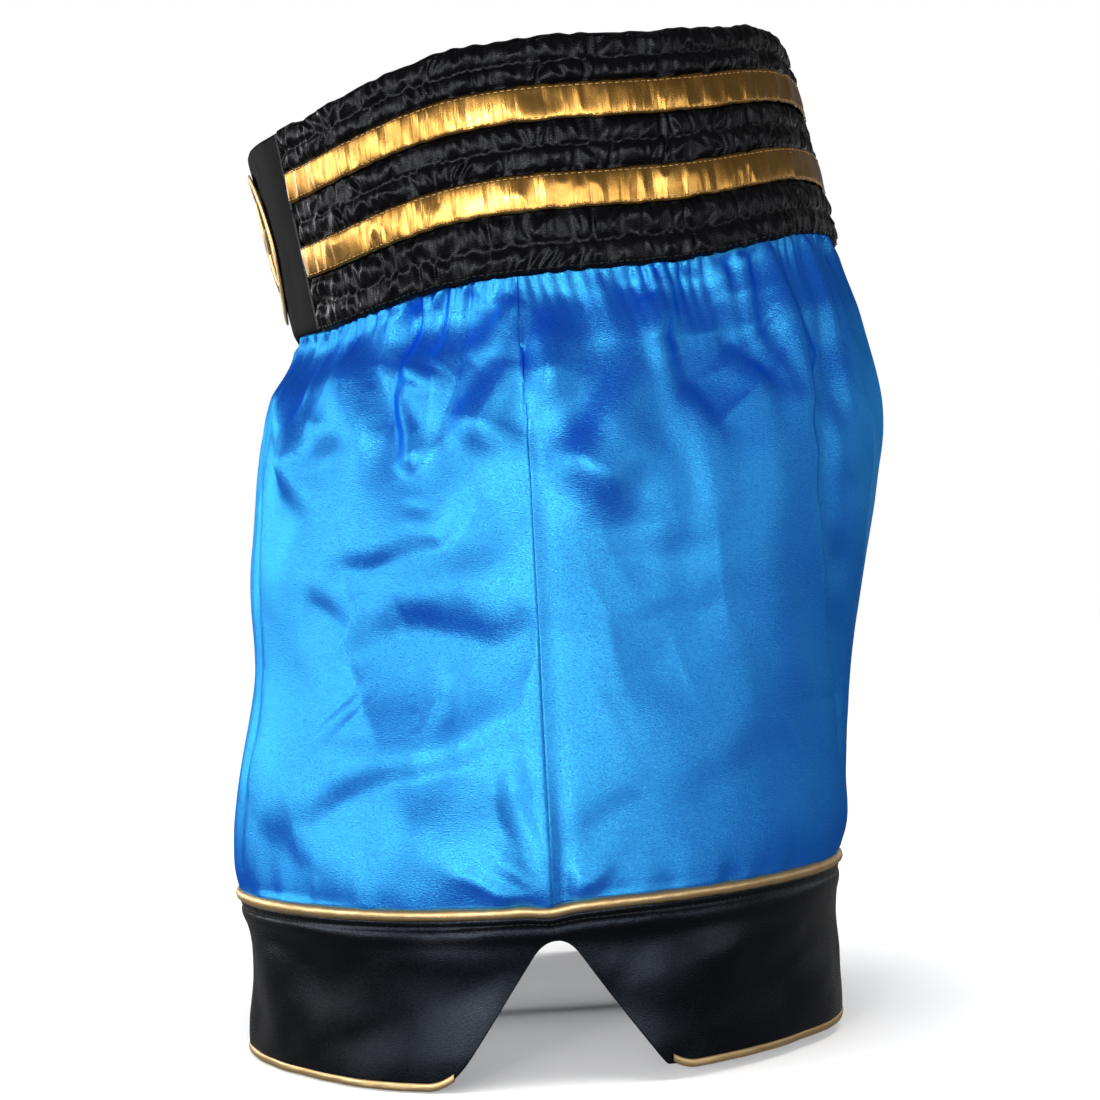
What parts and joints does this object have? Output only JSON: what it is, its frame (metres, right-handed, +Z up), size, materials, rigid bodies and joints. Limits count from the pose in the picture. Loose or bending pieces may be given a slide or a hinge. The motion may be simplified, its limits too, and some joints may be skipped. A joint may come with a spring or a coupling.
{
  "type": "boxing shorts",
  "caption": "Satin boxing shorts with a high ruched elastic waistband, striped in gold, piped legs and contrasting hem bands with side vents.",
  "frame": {"origin": "on the surface the hems rest on, below the middle of the bounding box, on the left-right middle plane", "axes": "+Z up; the shorts' front faces -Y; the wearer's left side is +X"},
  "size_m": [0.3538, 0.3071, 0.4468],
  "materials": {
    "blue_satin": "royal blue satin weave, glossy",
    "black_satin": "black satin weave, ruched on the waistband",
    "hem_satin": "black satin weave, flat",
    "gold_trim": "gold satin piping and binding",
    "gold_foil_tape": "metallic gold foil tape, crinkled",
    "elastic": "covered woven elastic, hidden in the waistband"
  },
  "bodies": {
    "root": {"back_panel_left": "blue_satin", "back_panel_right": "blue_satin", "badge_ring": "gold_foil_tape", "badge_star": "gold_foil_tape", "crotch_gusset": "blue_satin", "front_panel_left": "blue_satin", "front_panel_right": "blue_satin", "gold_stripe_lower": "gold_foil_tape", "gold_stripe_upper": "gold_foil_tape", "hem_band_back_left": "hem_satin", "hem_band_back_right": "hem_satin", "hem_band_front_left": "hem_satin", "hem_band_front_right": "hem_satin", "hem_binding_back_left": "gold_trim", "hem_binding_back_right": "gold_trim", "hem_binding_front_left": "gold_trim", "hem_binding_front_right": "gold_trim", "leg_piping_left": "gold_trim", "leg_piping_right": "gold_trim", "waist_elastic_1": "elastic", "waist_elastic_2": "elastic", "waist_elastic_3": "elastic", "waist_elastic_4": "elastic", "waist_elastic_5": "elastic", "waistband_front_panel": "black_satin", "waistband_shell": "black_satin"}
  },
  "joints": []
}
